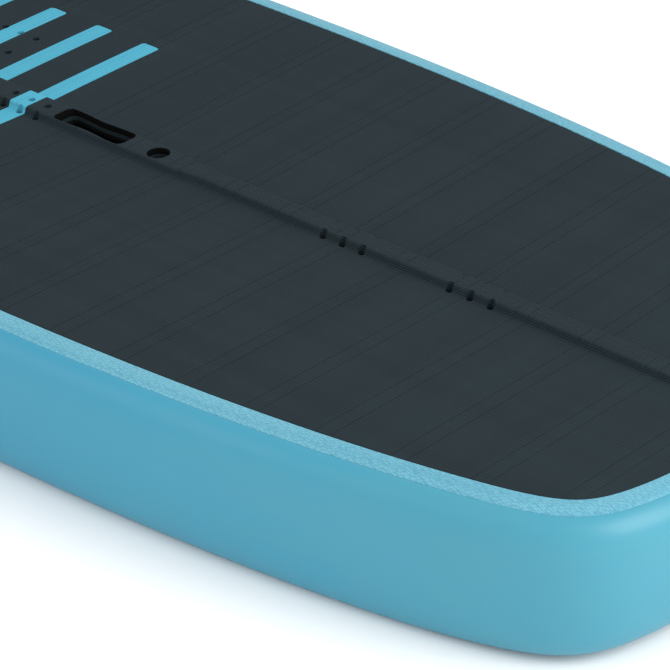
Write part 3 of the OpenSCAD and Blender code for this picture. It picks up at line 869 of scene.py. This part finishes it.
BEVELS = {
    "handle_cup": 0.0012,
    "vent_housing": 0.0006,
    "vent_screw": 0.0006,
    "vent_gasket": 0.0005,
    "leash_plug": 0.0008,
    "foil_track_port": 0.0005,
    "foil_track_starboard": 0.0005,
    "track_nut_port_front": 0.0005,
    "track_nut_port_rear": 0.0005,
    "track_nut_starboard_front": 0.0005,
    "track_nut_starboard_rear": 0.0005,
}


def finish_cad_nodes():
    """Gives every CAD node its slot's material, and the fittings soft edges."""
    slot_of = {s["node"]: s["material_slot"] for s in frame["record"]["subparts"]}
    for name, obj in frame["nodes"].items():
        obj.data.materials.clear()
        obj.data.materials.append(MATERIALS[slot_of[name]])
        if name in BEVELS:
            bevel = obj.modifiers.new("soft_edges", "BEVEL")
            bevel.width = BEVELS[name]
            bevel.segments = 2
            bevel.limit_method = "ANGLE"
            bevel.angle_limit = math.radians(40)
            bevel.use_clamp_overlap = True


# ==== Floor, light and camera ====


FLOOR_HALF = 12.0
FLOOR_DROP = 0.0005
FLOOR_TONES = [(0.3, (0.96, 0.96, 0.96, 1)), (0.7, (0.975, 0.975, 0.975, 1))]
WORLD_STRENGTH = 1.03


def build_stage():
    mesh = bpy.data.meshes.new("floor")
    s = FLOOR_HALF
    mesh.from_pydata([(-s, -s, 0), (s, -s, 0), (s, s, 0), (-s, s, 0)], [], [(0, 1, 2, 3)])
    floor = bpy.data.objects.new("floor", mesh)
    scene.collection.objects.link(floor)
    floor.location.z = -FLOOR_DROP
    pale = Shader("floor_pale", roughness=0.9, specular=0.1)
    pale.colour(pale.ramp(pale.noise(3, 2), FLOOR_TONES))
    floor.data.materials.append(pale.mat)


def area_light(name, place, target, size, watts):
    data = bpy.data.lights.new(name, "AREA")
    data.shape = "RECTANGLE"
    data.size, data.size_y = size
    data.energy = watts
    obj = bpy.data.objects.new(name, data)
    obj.location = place
    obj.rotation_euler = (Vector(target) - Vector(place)).to_track_quat("-Z", "Y").to_euler()
    scene.collection.objects.link(obj)


def build_light():
    world = bpy.data.worlds.new("studio")
    scene.world = world
    world.use_nodes = True
    sky = world.node_tree.nodes["Background"]
    sky.inputs["Color"].default_value = (1.0, 1.0, 1.0, 1)
    sky.inputs["Strength"].default_value = WORLD_STRENGTH
    area_light("key", (-3.3, -0.5, 2.0), (-0.3, 0, 0), (2.2, 2.2), 84)
    area_light("fill", (1.5, 3.0, 1.6), (0, 0, 0), (2.5, 2.0), 16)
    scene.view_settings.view_transform = "Standard"


# The photograph's view: a long lens from the port quarter
LENS = 162.4
SENSOR = 36.0
VIEW_AZ, VIEW_EL, VIEW_ROLL = 223.39, 30.61, -1.56
VIEW_DIST = 3.1247
AIM = Vector((GROOVE_START, 0, DECK_MID))
# How far the aim point lies right of and above the picture's centre
AIM_RIGHT, AIM_UP = -0.1075, 0.1502


def build_camera():
    az, el, roll = (math.radians(a) for a in (VIEW_AZ, VIEW_EL, VIEW_ROLL))
    back = Vector((math.sin(az) * math.cos(el), -math.cos(az) * math.cos(el), math.sin(el)))
    level = (-back).cross(Vector((0, 0, 1))).normalized()
    upright = level.cross(-back)
    right = math.cos(roll) * level + math.sin(roll) * upright
    up = math.cos(roll) * upright - math.sin(roll) * level
    data = bpy.data.cameras.new("camera")
    data.lens = LENS
    data.sensor_width = SENSOR
    data.clip_end = 50
    cam = bpy.data.objects.new("camera", data)
    scene.collection.objects.link(cam)
    cam.location = AIM + VIEW_DIST * back - AIM_RIGHT * right - AIM_UP * up
    cam.rotation_mode = "QUATERNION"
    cam.rotation_quaternion = Matrix((right, up, back)).transposed().to_quaternion()
    scene.camera = cam


build_camera()
finish_cad_nodes()
build_hull()
build_band()
build_deck()
build_stage()
build_light()
